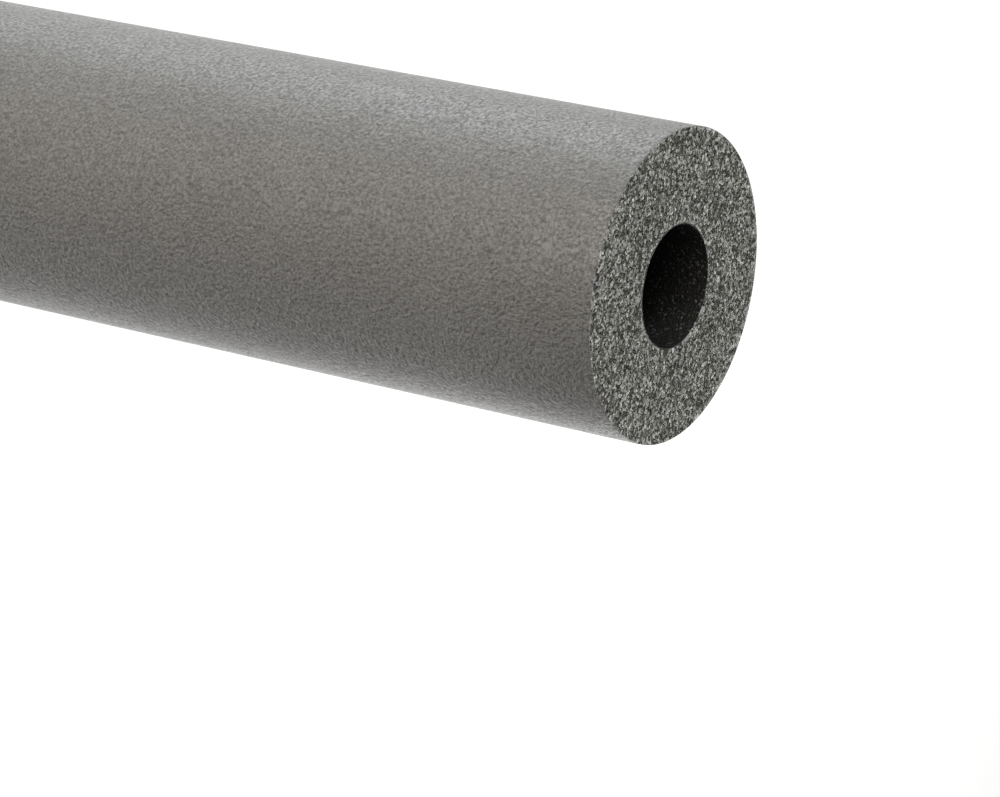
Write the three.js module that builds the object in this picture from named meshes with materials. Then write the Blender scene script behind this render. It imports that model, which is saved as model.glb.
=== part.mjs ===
// A straight length of closed-cell polyethylene foam lagging for a 15 mm heating pipe.
//
// The tube comes off the extruder in one piece, skin and all, and is cut square to length with a knife.
// It has no slit and no jacket: it is slid over the pipe before the pipe is joined.
//
// Millimetres, +Z up. Lying down the tube would roll, so it stands on one of its square-cut ends.
// The origin is on the floor, on the bore's axis.

import * as THREE from 'three';

// Driving sizes
const pipeDiameter = 15;
const slideOnClearance = 1.5;
const wallThickness = 13;
const tubeLength = 1000;

// The knife leaves two rims at each end, which relax to a small radius.
const outerRimRadius = 0.5;
const boreRimRadius = 0.3;

// Flats that stand in for the round walls, and steps in each rim's quarter circle
const flatsAround = 96;
const stepsInRim = 3;

// The foam's colour and finish
const foamGrey = 0x7b7873;
const foamRoughness = 0.62;

// Sizes that follow from the driving ones
const boreRadius = (pipeDiameter + slideOnClearance) / 2;
const outerRadius = boreRadius + wallThickness;

// Points of one rim's quarter circle, from startAngle on, about a centre at (radius, height).
function rimPoints(radius, height, rimRadius, startAngle) {
  const points = [];
  for (let step = 0; step <= stepsInRim; step += 1) {
    const angle = startAngle + (Math.PI / 2) * (step / stepsInRim);
    points.push(new THREE.Vector2(
      radius + rimRadius * Math.cos(angle),
      height + rimRadius * Math.sin(angle),
    ));
  }
  return points;
}

// The wall's section as a closed loop: radius across, height above the floor up.
// It runs up the outer wall, over the top end face, down the bore and back over the bottom end face.
function wallSection() {
  const outerRimCentre = outerRadius - outerRimRadius;
  const boreRimCentre = boreRadius + boreRimRadius;
  const section = [
    ...rimPoints(outerRimCentre, tubeLength - outerRimRadius, outerRimRadius, 0),
    ...rimPoints(boreRimCentre, tubeLength - boreRimRadius, boreRimRadius, Math.PI / 2),
    ...rimPoints(boreRimCentre, boreRimRadius, boreRimRadius, Math.PI),
    ...rimPoints(outerRimCentre, outerRimRadius, outerRimRadius, 1.5 * Math.PI),
  ];
  section.push(section[0].clone());
  return section;
}

// The whole tube: the wall's section turned about the bore's axis.
function makeFoamTube() {
  const shape = new THREE.LatheGeometry(wallSection(), flatsAround);
  const foam = new THREE.MeshStandardMaterial({
    color: foamGrey,
    roughness: foamRoughness,
    metalness: 0,
  });
  const tube = new THREE.Mesh(shape, foam);
  tube.name = 'foam_tube';
  return tube;
}

const lagging = new THREE.Group();
const foamTube = makeFoamTube();
foamTube.rotation.x = Math.PI / 2;
lagging.add(foamTube);

export default lagging;
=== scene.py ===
# %% [markdown]
# A length of foam lagging for a heating pipe, standing on its square-cut end.
# The real thing is one piece of grey closed-cell foam: a satin skin with a fine wrinkled grain outside,
# a dark rough bore inside, and two knife cuts that open thousands of tiny cells.
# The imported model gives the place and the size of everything. This lesson gives it its surfaces.

import math

import bmesh
import bpy
import numpy as np
from mathutils import Matrix, Vector, noise
from mathutils.geometry import delaunay_2d_cdt


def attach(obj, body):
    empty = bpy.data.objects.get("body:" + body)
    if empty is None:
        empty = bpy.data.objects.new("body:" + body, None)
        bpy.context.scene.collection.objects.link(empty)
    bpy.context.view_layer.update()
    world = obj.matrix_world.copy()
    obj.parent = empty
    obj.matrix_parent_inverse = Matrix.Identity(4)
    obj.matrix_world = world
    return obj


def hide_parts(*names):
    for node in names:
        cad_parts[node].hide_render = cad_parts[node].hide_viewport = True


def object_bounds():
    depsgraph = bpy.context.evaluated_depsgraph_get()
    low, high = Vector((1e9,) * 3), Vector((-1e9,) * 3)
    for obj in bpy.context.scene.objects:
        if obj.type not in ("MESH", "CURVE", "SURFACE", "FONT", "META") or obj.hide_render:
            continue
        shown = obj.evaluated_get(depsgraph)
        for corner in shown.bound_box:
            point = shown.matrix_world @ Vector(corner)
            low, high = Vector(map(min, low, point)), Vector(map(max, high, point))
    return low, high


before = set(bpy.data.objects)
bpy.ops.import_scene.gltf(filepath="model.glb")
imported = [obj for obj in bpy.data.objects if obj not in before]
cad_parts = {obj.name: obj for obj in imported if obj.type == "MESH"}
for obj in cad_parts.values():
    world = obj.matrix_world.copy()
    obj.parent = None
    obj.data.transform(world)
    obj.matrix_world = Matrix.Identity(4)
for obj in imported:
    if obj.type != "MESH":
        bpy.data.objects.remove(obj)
cad_low, cad_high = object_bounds()
print("the packed tube runs from", tuple(cad_low), "to", tuple(cad_high))

# %% [markdown]
# The tube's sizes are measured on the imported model, so the finish follows it if it is ever resized.
# Its mesh has corners on two circles only, the skin's and the bore's, apart from the rounded rims,
# so the largest and the smallest distance from the axis are the two radii.

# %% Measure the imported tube
MM = 0.001
packed_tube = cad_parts["foam_tube"]
corner_distances = [vertex.co.xy.length for vertex in packed_tube.data.vertices]
skin_radius = max(corner_distances)
bore_radius = min(corner_distances)
tube_length = cad_high.z - cad_low.z
print(f"skin radius {skin_radius / MM:.2f} mm, bore radius {bore_radius / MM:.2f} mm")
print(f"length {tube_length:.3f} m")

# %% [markdown]
# The foam's cells are bubbles of about 0.4 mm that grew against each other.
# A knife through them leaves a net of thin walls around many-sided hollows, which is what a Voronoi
# pattern looks like. One could paint that pattern with a texture, but then the cut would be flat and
# would not glint. Here the pattern becomes real polygons, which are hollowed out later.
# The cells' middles are a honeycomb grid that chance has shaken. The shake and the margin at the edges
# are shares of the grid's spacing.

# %% Scatter the middles of the cells
cell_spacing = 0.4 * MM
shake = 0.42
edge_margin = 0.33
cut_rim = 0.12 * MM
bore_rim = 0.16 * MM
cut_outer = skin_radius - cut_rim
cut_inner = bore_radius + bore_rim


def scatter_middles(inner, outer, spacing, seed):
    """Places points on a shaken honeycomb between two circles, no nearer to them than a third of a cell."""
    chance = np.random.default_rng(seed)
    row_height = spacing * math.sqrt(3) / 2
    rows = np.arange(-math.ceil(outer / row_height), math.ceil(outer / row_height) + 1)
    columns = np.arange(-math.ceil(outer / spacing), math.ceil(outer / spacing) + 1)
    row, column = np.meshgrid(rows, columns, indexing="ij")
    across = (column + 0.5 * (row % 2)) * spacing
    up = row * row_height
    points = np.stack([across.ravel(), up.ravel()], axis=1)
    points += chance.uniform(-shake, shake, points.shape) * spacing
    distance = np.hypot(points[:, 0], points[:, 1])
    margin = edge_margin * spacing
    return points[(distance > inner + margin) & (distance < outer - margin)]


cell_middles = scatter_middles(cut_inner, cut_outer, cell_spacing, seed=15)
print(f"{len(cell_middles)} cells open in each cut")

# %% [markdown]
# A Voronoi cell's corners are the middles of the circles through three neighbouring points, which
# Blender's Delaunay triangulation finds. Cells at the edge would run off to infinity, so the points near
# each circle get a mirror image behind it. The border between a point and its image then lies on the
# circle, and the outermost cells end exactly there. The triangulation takes a number for what it returns,
# and 0 is triangles over the whole hull.

# %% Turn the middles into cell outlines
mirror_reach = 2.5 * cell_spacing
whole_hull = 0
tolerance = 1e-6


def mirrored(points, circle, reach):
    """Copies the points that lie within reach of a circle to its other side."""
    distance = np.hypot(points[:, 0], points[:, 1])
    near = np.abs(distance - circle) < reach
    return points[near] * (2 * circle / distance[near] - 1)[:, None]


def circle_middles(corners):
    """Returns the middle of the circle through each triangle's three corners."""
    a, b, c = corners[:, 0], corners[:, 1] - corners[:, 0], corners[:, 2] - corners[:, 0]
    twice_area = 2 * (b[:, 0] * c[:, 1] - b[:, 1] * c[:, 0])
    b_squared, c_squared = (b**2).sum(axis=1), (c**2).sum(axis=1)
    x = (c[:, 1] * b_squared - b[:, 1] * c_squared) / twice_area
    y = (b[:, 0] * c_squared - c[:, 0] * b_squared) / twice_area
    return a + np.stack([x, y], axis=1)


def cell_outlines(middles, inner, outer, reach):
    """Returns the corners of all cells, and each cell's corner numbers in turn around it."""
    points = np.vstack([middles, mirrored(middles, outer, reach), mirrored(middles, inner, reach)])
    scaled = [Vector(point) for point in points / MM]
    _, _, triangles, sources, _, _ = delaunay_2d_cdt(scaled, [], [], whole_hull, tolerance)
    source = np.array([min(found) for found in sources])
    triangles = source[np.array(triangles)]
    corners = circle_middles(points[triangles])
    around = [[] for _ in middles]
    touches_mirror = (triangles >= len(middles)).any(axis=1)
    for number, triangle in enumerate(triangles):
        for point in triangle:
            if point < len(middles):
                around[point].append(number)
    distance = np.hypot(corners[:, 0], corners[:, 1])
    circle = np.where(distance > (inner + outer) / 2, outer, inner)
    snap = np.where(touches_mirror, circle / distance, 1.0)
    outlines = []
    for middle, numbers in zip(middles, around):
        spokes = corners[numbers] - middle
        turn = np.arctan2(spokes[:, 1], spokes[:, 0])
        outlines.append([numbers[i] for i in np.argsort(turn)])
    return corners * snap[:, None], outlines


cell_corners, outlines = cell_outlines(cell_middles, cut_inner, cut_outer, mirror_reach)
print(f"{sum(map(len, outlines)) / len(outlines):.2f} corners to a cell on average")

# %% [markdown]
# The flat sheet of cells is the start of the whole tube. Its outer and inner borders are two rings of
# corners, and the skin and the bore are drawn down from them, row by row, to the mirror image of the
# sheet on the floor. The result is one closed mesh. The skin of such a tube is never quite even, because
# it is stretched soft through the die, so each row sinks a few hundredths of a millimetre by a slow noise.
# The knife drags the bore's thin rim along, so its corners are torn outwards and inwards by chance.

# %% Draw the tube down from the sheet of cells
SKIN, CUT, BORE = range(3)
merge_reach = 0.035 * MM
skin_rows = 44
bore_rows = 24
skin_sink = 0.05 * MM
skin_sink_size = 14 * MM
bore_tear = 0.14 * MM
tear_seed = 22
rim_angles = (35, 65, 90)


def sheet_of_cells(work, height, facing_up):
    """Adds the cell polygons at a height and returns them with their outer and inner ring of corners."""
    verts = [work.verts.new((x, y, height)) for x, y in cell_corners]
    faces = []
    for outline in outlines:
        turn = outline if facing_up else outline[::-1]
        faces.append(work.faces.new([verts[i] for i in turn]))
    loose = [vert for vert in verts if not vert.link_faces]
    bmesh.ops.delete(work, geom=loose, context="VERTS")
    kept = [vert for vert in verts if vert.is_valid]
    bmesh.ops.remove_doubles(work, verts=kept, dist=merge_reach)
    faces = [face for face in faces if face.is_valid]
    border = {vert for face in faces for edge in face.edges if edge.is_boundary for vert in edge.verts}
    middle_line = (cut_inner + cut_outer) / 2
    rings = []
    for outside in (True, False):
        ring = [vert for vert in border if (vert.co.xy.length > middle_line) == outside]
        rings.append(sorted(ring, key=lambda vert: math.atan2(vert.co.y, vert.co.x)))
    chance = np.random.default_rng(tear_seed)
    for vert in rings[1]:
        outwards = vert.co.xy.normalized() * chance.uniform(0, bore_tear)
        inwards = chance.uniform(0, bore_tear) * (-1 if facing_up else 1)
        vert.co += Vector((outwards.x, outwards.y, inwards))
    return faces, rings[0], rings[1]


def join_rings(work, upper, lower, outward, material):
    """Fills the strip between two rings of equally many corners with four-sided faces."""
    for i in range(len(upper)):
        j = (i + 1) % len(upper)
        corners = [upper[i], lower[i], lower[j], upper[j]]
        face = work.faces.new(corners if outward else corners[::-1])
        face.material_index = material
        face.smooth = True


def draw_wall(work, top_ring, bottom_ring, radius, rim, rows, sink, outward, material):
    """Draws one wall of the tube down from the top ring to the bottom ring, over a rounded rim at each."""
    rim_turns = [math.radians(angle) for angle in rim_angles]
    towards_wall = rim if outward else -rim
    rim_radii = [radius - towards_wall * (1 - math.sin(turn)) for turn in rim_turns]
    depths = [rim * (1 - math.cos(turn)) for turn in rim_turns]
    even = np.linspace(0, 1, rows + 2)[1:-1]
    row_radius = rim_radii + [radius] * rows + rim_radii[::-1]
    row_height = (
        [tube_length - depth for depth in depths]
        + [tube_length - rim - (tube_length - 2 * rim) * share for share in even]
        + depths[::-1]
    )
    directions = [vert.co.xy.normalized() for vert in top_ring]
    upper = top_ring
    for r, height in zip(row_radius, row_height):
        lower = []
        for direction in directions:
            spot = Vector((direction.x * r, direction.y * r, height)) / skin_sink_size
            local = r - sink * 0.5 * (1 + noise.noise(spot))
            lower.append(work.verts.new((direction.x * local, direction.y * local, height)))
        join_rings(work, upper, lower, outward, material)
        upper = lower
    join_rings(work, upper, bottom_ring, outward, material)


work = bmesh.new()
open_cell = work.faces.layers.bool.new("open_cell")
top_cells, top_outer, top_inner = sheet_of_cells(work, tube_length, facing_up=True)
bottom_cells, bottom_outer, bottom_inner = sheet_of_cells(work, 0.0, facing_up=False)
draw_wall(work, top_outer, bottom_outer, skin_radius, cut_rim, skin_rows, skin_sink, True, SKIN)
draw_wall(work, top_inner, bottom_inner, bore_radius, bore_rim, bore_rows, 0.0, False, BORE)
for face in top_cells + bottom_cells:
    face[open_cell] = True
    face.material_index = CUT
tube_mesh = bpy.data.meshes.new("lagging_tube")
holes = sum(not edge.is_manifold for edge in work.edges)
work.to_mesh(tube_mesh)
work.free()
tube = bpy.data.objects.new("lagging_tube", tube_mesh)
bpy.context.collection.objects.link(tube)
print(f"{len(top_outer)} corners round the skin, {len(top_inner)} round the bore, {holes} open edges")

# %% [markdown]
# Node trees are built by script below, for the shapes and for the finishes. This helper adds one node:
# it sets its properties, and fills each named input with a value or with a link from another node.

# %% A helper that places a node
def socket_named(sockets, name):
    """Finds a socket by its number or its name, among those that the node's settings leave in use."""
    in_use = [socket for socket in sockets if socket.enabled]
    if isinstance(name, int):
        return in_use[name]
    return next(socket for socket in in_use if socket.name == name)


def place(tree, kind, inputs=None, **settings):
    """Adds a node to a tree, with its settings and its inputs."""
    node = tree.nodes.new(kind)
    for name, value in settings.items():
        setattr(node, name, value)
    for name, value in (inputs or {}).items():
        socket = socket_named(node.inputs, name)
        if isinstance(value, bpy.types.NodeSocket):
            tree.links.new(value, socket)
        else:
            socket.default_value = value
    return node


def out(node, name=0):
    """Returns one of a node's outputs, the first if none is named."""
    return socket_named(node.outputs, name)


# %% [markdown]
# Each flat polygon becomes a hollow. Geometry Nodes suits this, because the same few steps repeat for
# thousands of cells, each with chances of its own: the polygon is pressed in, its floor shrinks to a point
# and slides aside, so every hollow catches the light in its own way. Smooth shading makes a bowl of it.
# Neighbours keep their shared edge, which stays behind sharp, as the thin wall between them. Each cell
# also keeps a tone, which the finish uses to paint some walls paler, partly as milky walls and partly as
# painted glints, and its depth, which the finish also uses for painted shade.
# An edge counts as lying on the cut when both its ends are almost level with it.

# %% Geometry Nodes that open the cut cells
cell_sizes = {
    "Length": tube_length,
    "Depth": 0.4 * MM,
    "Shallowest": 0.15,
    "Slide": 0.07 * MM,
    "Seed": 13,
}
tip_merge = 0.0005 * MM
level_with_cut = 0.004 * MM


def cut_cells_tree():
    """Builds the tree that hollows out every face marked as an open cell."""
    tree = bpy.data.node_groups.new("open the cut cells", "GeometryNodeTree")
    tree.is_modifier = True
    panel = tree.interface
    panel.new_socket("Geometry", in_out="INPUT", socket_type="NodeSocketGeometry")
    for name in ("Length", "Depth", "Shallowest", "Slide"):
        panel.new_socket(name, in_out="INPUT", socket_type="NodeSocketFloat")
    panel.new_socket("Seed", in_out="INPUT", socket_type="NodeSocketInt")
    panel.new_socket("Foam", in_out="INPUT", socket_type="NodeSocketMaterial")
    panel.new_socket("Geometry", in_out="OUTPUT", socket_type="NodeSocketGeometry")
    given = place(tree, "NodeGroupInput")
    marked = place(tree, "GeometryNodeInputNamedAttribute", {"Name": "open_cell"}, data_type="BOOLEAN")
    seed = out(given, "Seed")

    def chance(low, high, turn, kind="FLOAT"):
        """A random number or vector for each face, another one for each turn."""
        own_seed = place(tree, "ShaderNodeMath", {0: seed, 1: float(turn)}, operation="ADD")
        inputs = {"Min": low, "Max": high, "Seed": out(own_seed)}
        return out(place(tree, "FunctionNodeRandomValue", inputs, data_type=kind))

    def keep(geometry, name, value, kind="FLOAT", domain="FACE"):
        """Stores a value on the mesh under a name."""
        inputs = {"Geometry": geometry, "Name": name, "Value": value}
        node = place(tree, "GeometryNodeStoreNamedAttribute", inputs, data_type=kind, domain=domain)
        return out(node, "Geometry")

    def read(name, kind="FLOAT"):
        """Reads a stored value."""
        return out(place(tree, "GeometryNodeInputNamedAttribute", {"Name": name}, data_type=kind))

    mesh = keep(out(given, "Geometry"), "cell_tone", chance(0.0, 1.0, 1))
    mesh = keep(mesh, "cell_slide", chance((-1, -1, 0), (1, 1, 0), 3, "FLOAT_VECTOR"), "FLOAT_VECTOR")
    mesh = keep(mesh, "cell_depth", chance(out(given, "Shallowest"), 1.0, 4))
    depth = place(
        tree, "ShaderNodeMath", {0: out(given, "Depth"), 1: read("cell_depth")}, operation="MULTIPLY"
    )
    inwards = place(tree, "ShaderNodeMath", {0: out(depth), 1: -1.0}, operation="MULTIPLY")
    pressed = place(
        tree,
        "GeometryNodeExtrudeMesh",
        {"Mesh": mesh, "Selection": out(marked), "Offset Scale": out(inwards), "Individual": True},
        mode="FACES",
    )
    floor = out(pressed, "Top")
    shrunk = place(
        tree,
        "GeometryNodeScaleElements",
        {"Geometry": out(pressed, "Mesh"), "Selection": floor, "Scale": 0.0},
        domain="FACE",
    )
    slide = place(
        tree,
        "ShaderNodeVectorMath",
        {0: read("cell_slide", "FLOAT_VECTOR"), "Scale": out(given, "Slide")},
        operation="SCALE",
    )
    moved = place(
        tree, "GeometryNodeSetPosition", {"Geometry": out(shrunk), "Selection": floor, "Offset": out(slide)}
    )
    mesh = keep(out(moved), "cell_bottom", floor, "BOOLEAN", domain="POINT")
    bottom = read("cell_bottom", "BOOLEAN")
    mesh = keep(mesh, "cell_hollow", bottom, "FLOAT", domain="POINT")
    tips = {"Geometry": mesh, "Selection": bottom, "Distance": tip_merge}
    pointed = out(place(tree, "GeometryNodeMergeByDistance", tips))
    bowls = place(
        tree,
        "GeometryNodeSetShadeSmooth",
        {"Geometry": pointed, "Selection": out(marked), "Shade Smooth": True},
    )
    edge = place(tree, "GeometryNodeInputMeshEdgeVertices")
    below_cut = []
    for end in ("Position 1", "Position 2"):
        height = out(place(tree, "ShaderNodeSeparateXYZ", {"Vector": out(edge, end)}), "Z")
        from_top = place(tree, "ShaderNodeMath", {0: out(given, "Length"), 1: height}, operation="SUBTRACT")
        nearest = place(tree, "ShaderNodeMath", {0: height, 1: out(from_top)}, operation="MINIMUM")
        below_cut.append(out(nearest))
    lowest = place(tree, "ShaderNodeMath", {0: below_cut[0], 1: below_cut[1]}, operation="MAXIMUM")
    level_test = {"A": out(lowest), "B": level_with_cut}
    on_cut = place(tree, "FunctionNodeCompare", level_test, operation="LESS_THAN")
    sharp = place(
        tree,
        "GeometryNodeSetShadeSmooth",
        {"Geometry": out(bowls), "Selection": out(on_cut), "Shade Smooth": False},
        domain="EDGE",
    )
    real = place(tree, "GeometryNodeRealizeInstances", {"Geometry": out(sharp)})
    finish = place(
        tree,
        "GeometryNodeSetMaterial",
        {"Geometry": out(real), "Selection": out(marked), "Material": out(given, "Foam")},
    )
    place(tree, "NodeGroupOutput", {"Geometry": out(finish)})
    return tree


cell_opener = cut_cells_tree()
print("cell opener:", [socket.name for socket in cell_opener.interface.items_tree])


# %% A helper that runs a tree
def run_tree(piece, tree, values):
    """Runs a tree on a piece, its inputs set by identifier, and keeps the result as a plain mesh."""
    modifier = piece.modifiers.new(tree.name, "NODES")
    modifier.node_group = tree
    for socket in tree.interface.items_tree:
        if socket.in_out == "INPUT" and socket.name in values:
            modifier[socket.identifier] = values[socket.name]
    depsgraph = bpy.context.evaluated_depsgraph_get()
    plain = bpy.data.meshes.new_from_object(
        piece.evaluated_get(depsgraph), preserve_all_data_layers=True, depsgraph=depsgraph
    )
    piece.modifiers.remove(modifier)
    piece.data = plain


# %% [markdown]
# The finishes share three effects, so each is a node group that is built once. They all read Object
# coordinates, which on this piece are metres from the floor, and turn them into millimetres.
# The first is the bubbles: foam is a heap of them, so a Voronoi texture suits it, and a little noise
# shakes it so that no two look alike. Each bubble gives a dome of height and a tone of its own.

# %% Shader group for the bubbles
def new_shader_group(name, inputs, outputs):
    """Makes an empty shader group with named inputs and outputs, and returns it with its input node."""
    group = bpy.data.node_groups.new(name, "ShaderNodeTree")
    for title, value in inputs.items():
        socket = group.interface.new_socket(title, in_out="INPUT", socket_type="NodeSocketFloat")
        socket.default_value = value
    for title in outputs:
        group.interface.new_socket(title, in_out="OUTPUT", socket_type="NodeSocketFloat")
    return group, place(group, "NodeGroupInput")


def millimetres(tree):
    """Object coordinates in millimetres."""
    spot = out(place(tree, "ShaderNodeTexCoord"), "Object")
    return out(place(tree, "ShaderNodeVectorMath", {0: spot, "Scale": 1 / MM}, operation="SCALE"))


def per_size(tree, size):
    """The texture scale that gives features of a size in millimetres."""
    return out(place(tree, "ShaderNodeMath", {0: 1.0, 1: size}, operation="DIVIDE"))


def shaken(tree, spot, size, amount):
    """A place moved about by noise, so that a pattern read there loses its regular look."""
    push = place(tree, "ShaderNodeTexNoise", {"Vector": spot, "Scale": 1 / size, "Detail": 1.0})
    average = (0.5, 0.5, 0.5)
    centred = place(tree, "ShaderNodeVectorMath", {0: out(push, "Color"), 1: average}, operation="SUBTRACT")
    scaled = place(tree, "ShaderNodeVectorMath", {0: out(centred), "Scale": amount}, operation="SCALE")
    return out(place(tree, "ShaderNodeVectorMath", {0: spot, 1: out(scaled)}, operation="ADD"))


def remap(tree, value, source, target):
    """A value stretched from one range to another, and held at its ends."""
    inputs = {"Value": value, "From Min": source[0], "From Max": source[1]}
    inputs.update({"To Min": target[0], "To Max": target[1]})
    return out(place(tree, "ShaderNodeMapRange", inputs))


def bubble_group():
    """Bubbles of a size: domes with creases between them, and a tone from 0 to 1 for each."""
    group, given = new_shader_group("foam bubbles", {"Bubble Size": 0.5}, ("Height", "Tone"))
    spot = shaken(group, millimetres(group), size=0.35, amount=0.3)
    bubbles = place(
        group, "ShaderNodeTexVoronoi", {"Vector": spot, "Scale": per_size(group, out(given, "Bubble Size"))}
    )
    dome = remap(group, out(bubbles, "Distance"), (0.0, 0.9), (1.0, 0.0))
    tone = place(group, "ShaderNodeSeparateColor", {"Color": out(bubbles, "Color")})
    place(group, "NodeGroupOutput", {"Height": dome, "Tone": out(tone, "Red")})
    return group


bubbles = bubble_group()
print("bubble group:", [socket.name for socket in bubbles.interface.items_tree])

# %% [markdown]
# The second effect is the wrinkles. The skin leaves the die hot and soft, and shrinks as it cools, so it
# puckers into fine crumpled ridges with pits between them. Fractal noise crumples like that, with its
# highest and lowest parts cut off flat, and the pits are simply its lowest ground.

# %% Shader group for the wrinkles
def wrinkle_group():
    """Crumpled skin: a height from 0 to 1, and a mask of its pits."""
    inputs = {"Wrinkle Size": 0.5, "Crumple": 0.6}
    group, given = new_shader_group("skin wrinkles", inputs, ("Height", "Pits"))
    noise_inputs = {
        "Vector": millimetres(group),
        "Scale": per_size(group, out(given, "Wrinkle Size")),
        "Detail": 2.0,
        "Roughness": out(given, "Crumple"),
    }
    crumpled = out(place(group, "ShaderNodeTexNoise", noise_inputs))
    height = remap(group, crumpled, (0.3, 0.7), (0.0, 1.0))
    pits = remap(group, crumpled, (0.4, 0.28), (0.0, 1.0))
    place(group, "NodeGroupOutput", {"Height": height, "Pits": pits})
    return group


wrinkles = wrinkle_group()
print("wrinkle group:", [socket.name for socket in wrinkles.interface.items_tree])

# %% [markdown]
# The third effect is patches. Large ones are a slow drift of tone, because the soot that colours the foam
# is never mixed evenly. Small ones are specks where the film on the skin is thicker and so glossier.

# %% Shader group for the patches
def patch_group():
    """A patchy value around 1, and never further from it than the spread."""
    group, given = new_shader_group("patches", {"Patch Size": 9.0, "Spread": 0.06}, ("Tone",))
    patch_inputs = {
        "Vector": millimetres(group),
        "Scale": per_size(group, out(given, "Patch Size")),
        "Detail": 3.0,
        "Roughness": 0.6,
    }
    patchy = place(group, "ShaderNodeTexNoise", patch_inputs)
    low = place(group, "ShaderNodeMath", {0: 1.0, 1: out(given, "Spread")}, operation="SUBTRACT")
    high = place(group, "ShaderNodeMath", {0: 1.0, 1: out(given, "Spread")}, operation="ADD")
    tone = remap(group, out(patchy), (0.3, 0.7), (out(low), out(high)))
    place(group, "NodeGroupOutput", {"Tone": tone})
    return group


patches = patch_group()
print("patch group:", [socket.name for socket in patches.interface.items_tree])


# %% [markdown]
# The skin is satin: dull grey foam under a thin glossy film. Its colour barely changes, apart from painted
# shade that darkens the pits between the wrinkles. The grain shows where a soft box is mirrored: there each
# tilted wrinkle and each speck of film decides whether the light reaches the eye. So the wrinkles go into
# the bump, up to a quarter of a millimetre high, and the film becomes a coat whose weight changes from
# speck to speck. Away from the highlight the skin is calm.

# %% Helpers for the materials
foam_ior = 1.5


def new_material(name):
    """Makes a material with only its output node, and returns it with its tree."""
    material = bpy.data.materials.new(name)
    material.use_nodes = True
    material.node_tree.nodes.clear()
    return material, material.node_tree


def fill_group(tree, group, inputs):
    """Places a shared group in a material, with that material's own values."""
    return place(tree, "ShaderNodeGroup", inputs, node_tree=group)


def toned(tree, colour, *factors):
    """A colour multiplied by some values that change over the surface."""
    result = colour
    for factor in factors:
        node = place(tree, "ShaderNodeVectorMath", {0: result, "Scale": factor}, operation="SCALE")
        result = out(node)
    return result


# %% The skin's finish
skin_grey = (0.203, 0.195, 0.183)
wrinkle_height = 0.25 * MM


def skin_material():
    """Satin grey skin: wrinkles in its relief, under a film that is thick in fine specks."""
    material, tree = new_material("satin_foam_skin")
    wrinkles_here = fill_group(tree, wrinkles, {"Wrinkle Size": 0.58, "Crumple": 0.6})
    film = fill_group(tree, patches, {"Patch Size": 0.42, "Spread": 1.0})
    drift = fill_group(tree, patches, {"Patch Size": 9.0, "Spread": 0.05})
    # painted shade: the pits of the wrinkles are coloured darker, down to 0.72 of the grey
    pit_painted_shade = remap(tree, out(wrinkles_here, "Pits"), (0, 1), (1.0, 0.72))
    film_tone = remap(tree, out(film), (0, 2), (0.84, 1.16))
    colour = toned(tree, skin_grey, out(drift), pit_painted_shade, film_tone)
    gloss = remap(tree, out(film), (0.25, 1.75), (0.4, 0.28))
    film_thickness = remap(tree, out(film), (0.5, 1.75), (0.0, 1.0))
    relief = {"Height": out(wrinkles_here, "Height"), "Strength": 1.0, "Distance": wrinkle_height}
    bump = place(tree, "ShaderNodeBump", relief)
    shader_inputs = {
        "Base Color": colour,
        "Roughness": gloss,
        "IOR": foam_ior,
        "Specular IOR Level": 0.8,
        "Coat Weight": film_thickness,
        "Coat Roughness": 0.42,
        "Coat IOR": 2.1,
        "Normal": out(bump),
    }
    shader = place(tree, "ShaderNodeBsdfPrincipled", shader_inputs)
    place(tree, "ShaderNodeOutputMaterial", {"Surface": out(shader)})
    return material


skin_finish = skin_material()
print("skin finish:", len(skin_finish.node_tree.nodes), "nodes")


# %% [markdown]
# The cut is a crowd of small shiny bowls, and those are in the mesh. Each one reads back the values that
# Geometry Nodes stored on it: a few walls are painted paler, partly as milky walls and partly as painted
# glints, and a deep bowl and its bottom are painted darker, as painted shade in the hollow. Few walls are
# that pale, so the chance is cubed. Smaller bubbles show through the walls, and those come from the bubble
# group, which changes the tone, the gloss and the bump.

# %% The cut's finish
wall_grey = (0.124, 0.125, 0.106)
wall_relief = 0.05 * MM


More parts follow.
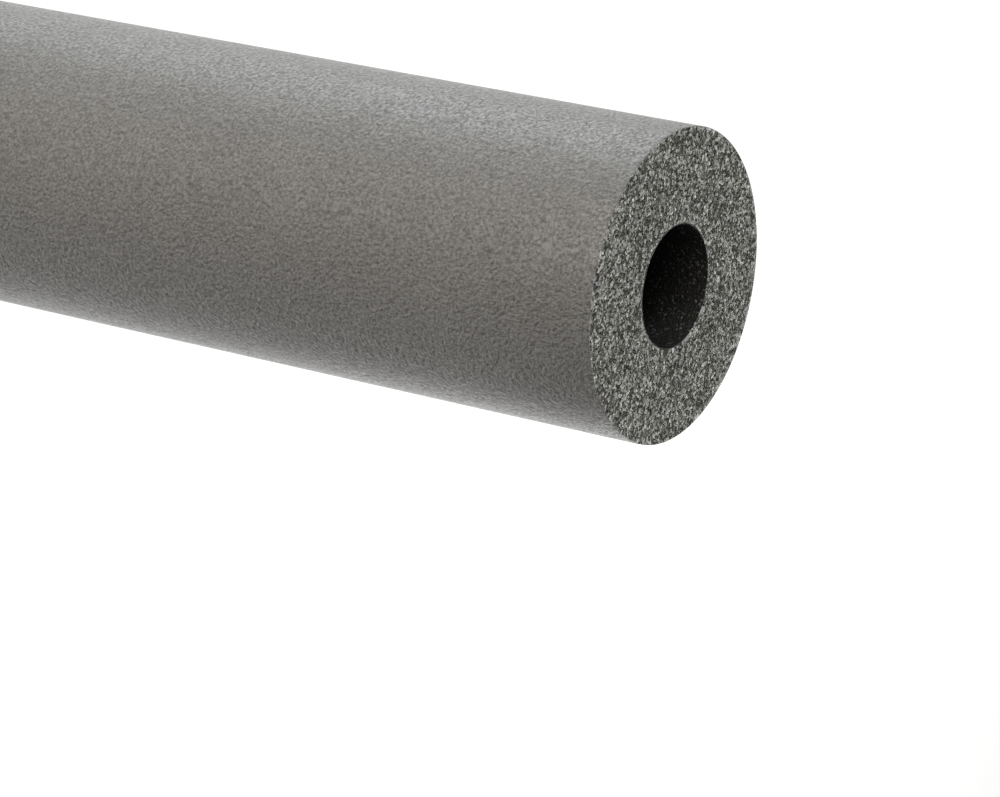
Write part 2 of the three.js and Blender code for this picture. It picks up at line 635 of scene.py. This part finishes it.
def cut_material():
    """Open cells: glossy walls, a few painted paler as milky walls and painted glints, deep bowls darkened
    by painted shade, and smaller bubbles behind them.
    """
    material, tree = new_material("cut_foam_cells")
    bubbles_here = fill_group(tree, bubbles, {"Bubble Size": 0.24})
    drift = fill_group(tree, patches, {"Patch Size": 6.0, "Spread": 0.08})

    def kept(name):
        """Reads a value that the open cells keep on the mesh."""
        node = place(tree, "ShaderNodeAttribute", attribute_name=name, attribute_type="GEOMETRY")
        return out(node, "Fac")

    # painted glints: a few walls are coloured up to 2.3 times paler, partly milky walls and partly standing
    # in for glints
    milky_and_glint = place(tree, "ShaderNodeMath", {0: kept("cell_tone"), 1: 3.0}, operation="POWER")
    wall_milk_and_glint = remap(tree, out(milky_and_glint), (0, 1), (0.65, 2.3))
    # painted shade: deep bowls, and the bottoms of all bowls, are coloured darker
    depth_painted_shade = remap(tree, kept("cell_depth"), (cell_sizes["Shallowest"], 1), (1.25, 0.75))
    hollow_painted_shade = remap(tree, kept("cell_hollow"), (0, 1), (1.15, 0.7))
    bubble_tone = remap(tree, out(bubbles_here, "Tone"), (0, 1), (0.35, 1.7))
    colour = toned(tree, wall_grey, out(drift), wall_milk_and_glint, depth_painted_shade, hollow_painted_shade, bubble_tone)
    gloss = remap(tree, out(bubbles_here, "Tone"), (0, 1), (0.4, 0.12))
    relief = {"Height": out(bubbles_here, "Height"), "Strength": 1.0, "Distance": wall_relief}
    bump = place(tree, "ShaderNodeBump", relief)
    shader_inputs = {"Base Color": colour, "Roughness": gloss, "IOR": foam_ior, "Normal": out(bump)}
    shader = place(tree, "ShaderNodeBsdfPrincipled", shader_inputs)
    place(tree, "ShaderNodeOutputMaterial", {"Surface": out(shader)})
    return material


cut_finish = cut_material()
print("cut finish:", len(cut_finish.node_tree.nodes), "nodes")


# %% [markdown]
# The bore is coloured near black: painted shade, far darker than the grey foam, for the deep shade inside
# it.
# Its bubbles stand out in its relief. Almost no light gets in, and a bubble here and there is painted pale,
# as a painted glint.

# %% The bore's finish
# painted shade: the bore's grey is lowered to near black
bore_shade_black = (0.019, 0.019, 0.018)
bore_relief = 0.18 * MM


def bore_material():
    """The rough inside of the bore, coloured near black as painted shade, with a few pale bubbles as
    painted glints.
    """
    material, tree = new_material("bore_painted_shade_and_glints")
    bubbles_here = fill_group(tree, bubbles, {"Bubble Size": 0.28})
    drift = fill_group(tree, patches, {"Patch Size": 5.0, "Spread": 0.1})
    # painted glints: the palest bubbles are coloured up to nine times brighter
    painted_glint = remap(tree, out(bubbles_here, "Tone"), (0.88, 1.0), (1.0, 9.0))
    colour = toned(tree, bore_shade_black, out(drift), painted_glint)
    gloss = remap(tree, out(bubbles_here, "Tone"), (0, 1), (0.6, 0.3))
    relief = {"Height": out(bubbles_here, "Height"), "Strength": 1.0, "Distance": bore_relief}
    bump = place(tree, "ShaderNodeBump", relief)
    shader_inputs = {
        "Base Color": colour,
        "Roughness": gloss,
        "IOR": foam_ior,
        "Specular IOR Level": 0.3,
        "Normal": out(bump),
    }
    shader = place(tree, "ShaderNodeBsdfPrincipled", shader_inputs)
    place(tree, "ShaderNodeOutputMaterial", {"Surface": out(shader)})
    return material


bore_finish = bore_material()
print("bore finish:", len(bore_finish.node_tree.nodes), "nodes")

# %% [markdown]
# The tube gets its finishes in the order of their numbers, and the tree opens its cells. The result is a
# plain mesh without a modifier. The calls then put it on the only body and hide the imported tube, which it
# stands in for.

# %% Open the cells and dress the tube
finishes = {SKIN: skin_finish, CUT: cut_finish, BORE: bore_finish}
for material in finishes.values():
    tube.data.materials.append(material)
run_tree(tube, cell_opener, {**cell_sizes, "Foam": cut_finish})
tube.data.calc_loop_triangles()
print(f"the tube has {len(tube.data.loop_triangles)} triangles")
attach(tube, "root")
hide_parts("foam_tube")

# %% [markdown]
# The photograph shows the tube lying, with its far end beyond the picture's left edge. This tube stands,
# so the camera is turned with it: it looks down on the top end, rolled until the tube runs to the left.

# %% The camera
picture_width, picture_height = 1000, 797
focal_length = 153.9
sensor_width = 36.0
end_face_at = (675.7, 286.4)
end_face_depth = 0.559
look_down = math.radians(31.1)
tube_slope = math.radians(12.57)

forward = Vector((0, math.cos(look_down), -math.sin(look_down)))
level = Vector((1, 0, 0))
steep = level.cross(forward)
picture_right = steep * math.cos(tube_slope) - level * math.sin(tube_slope)
picture_down = steep * math.sin(tube_slope) + level * math.cos(tube_slope)
pixel = sensor_width / picture_width / focal_length
top_middle = Vector((0, 0, tube_length))
camera_place = (
    top_middle
    - forward * end_face_depth
    - picture_right * (end_face_at[0] - picture_width / 2) * pixel * end_face_depth
    - picture_down * (end_face_at[1] - picture_height / 2) * pixel * end_face_depth
)
camera_data = bpy.data.cameras.new("camera")
camera_data.lens = focal_length
camera_data.sensor_width = sensor_width
camera_data.clip_start = 0.05
camera_data.clip_end = 60
camera = bpy.data.objects.new("camera", camera_data)
axes = Matrix((picture_right, -picture_down, -forward)).transposed()
camera.matrix_world = Matrix.Translation(camera_place) @ axes.to_4x4()
bpy.context.collection.objects.link(camera)
bpy.context.scene.camera = camera
print("camera at", tuple(round(value, 3) for value in camera_place))


# %% [markdown]
# The photograph was lit by a large cool soft box above and a little behind the tube, which the skin
# mirrors along its upper edge, and by a warmer one in front, with a faint one below it. A box from the
# right lights the cut. These four are placed as they are seen in the picture: a direction that runs to the
# right, up, and towards the camera, and a distance away from the tube's near end. Another box keeps the
# back of the tube from going dark, and the last one lights the floor behind it white.

# %% The lights
def in_picture(right, up, towards):
    """A direction in the scene, given as it looks in the picture."""
    return (picture_right * right - picture_down * up - forward * towards).normalized()


def soft_box(name, place_at, aim, size, watts, colour):
    """A square area light that faces its aim."""
    light = bpy.data.lights.new(name, "AREA")
    light.shape = "RECTANGLE"
    light.size = size
    light.size_y = size
    light.energy = watts
    light.color = colour
    box = bpy.data.objects.new(name, light)
    box.location = place_at
    box.rotation_mode = "QUATERNION"
    box.rotation_quaternion = (Vector(aim) - Vector(place_at)).to_track_quat("-Z", "Y")
    bpy.context.collection.objects.link(box)


COOL = (0.92, 1.0, 1.04)
NEUTRAL = (1.0, 1.0, 1.0)
WARM = (1.05, 1.0, 0.935)
below_cut = 0.05
near_end = Vector((0, 0, tube_length - below_cut))
picture_boxes = {
    "high_box": {"direction": (0.0, 0.95, -0.3), "away": 1.3, "size": 0.9, "watts": 5.4, "colour": COOL},
    "right_box": {"direction": (0.5, 0.7, 0.4), "away": 1.3, "size": 0.6, "watts": 3.8, "colour": NEUTRAL},
    "front_box": {"direction": (-0.35, 0.4, 1.0), "away": 1.8, "size": 1.6, "watts": 17.0, "colour": WARM},
    "low_box": {"direction": (-0.2, -0.45, 0.9), "away": 1.7, "size": 0.7, "watts": 0.5, "colour": WARM},
}
for name, box in picture_boxes.items():
    place_at = near_end + in_picture(*box["direction"]) * box["away"]
    soft_box(name, place_at, near_end, box["size"], box["watts"], box["colour"])
mid_height = (0, 0, tube_length / 2)
soft_box("rear_box", (1.0, 2.0, 0.7), mid_height, size=0.8, watts=12, colour=NEUTRAL)
soft_box("floor_box", (0.0, 2.2, 2.6), (0, 2.2, 0), size=2.5, watts=96, colour=NEUTRAL)
print("soft boxes in the picture's directions:", list(picture_boxes))

# %% [markdown]
# The floor is one large pale plane, no part of the tube. Its paint is rough,
# so it mirrors nothing. A faint cool room light fills what the soft boxes leave dark, and the plain view
# transform lets the brightly lit floor go fully white.

# %% The pale floor and the room
floor_half = 25.0
floor_colour = (0.82, 0.82, 0.81, 1)
room_colour = (0.95, 0.97, 1.0, 1)
room_strength = 0.09

floor_data = bpy.data.meshes.new("pale_floor")
floor_corners = [(-floor_half, -floor_half, 0), (floor_half, -floor_half, 0)]
floor_corners += [(floor_half, floor_half, 0), (-floor_half, floor_half, 0)]
floor_data.from_pydata(floor_corners, [], [(0, 1, 2, 3)])
floor = bpy.data.objects.new("pale_floor", floor_data)
bpy.context.collection.objects.link(floor)
paint, paint_tree = new_material("pale_floor_paint")
paint_inputs = {"Base Color": floor_colour, "Roughness": 0.7}
paint_shader = place(paint_tree, "ShaderNodeBsdfPrincipled", paint_inputs)
place(paint_tree, "ShaderNodeOutputMaterial", {"Surface": out(paint_shader)})
floor_data.materials.append(paint)

world = bpy.data.worlds.new("pale_room")
world.use_nodes = True
background = world.node_tree.nodes["Background"]
background.inputs["Color"].default_value = room_colour
background.inputs["Strength"].default_value = room_strength
bpy.context.scene.world = world
bpy.context.scene.view_settings.view_transform = "Standard"
print("floor", 2 * floor_half, "m wide, room light", room_strength)
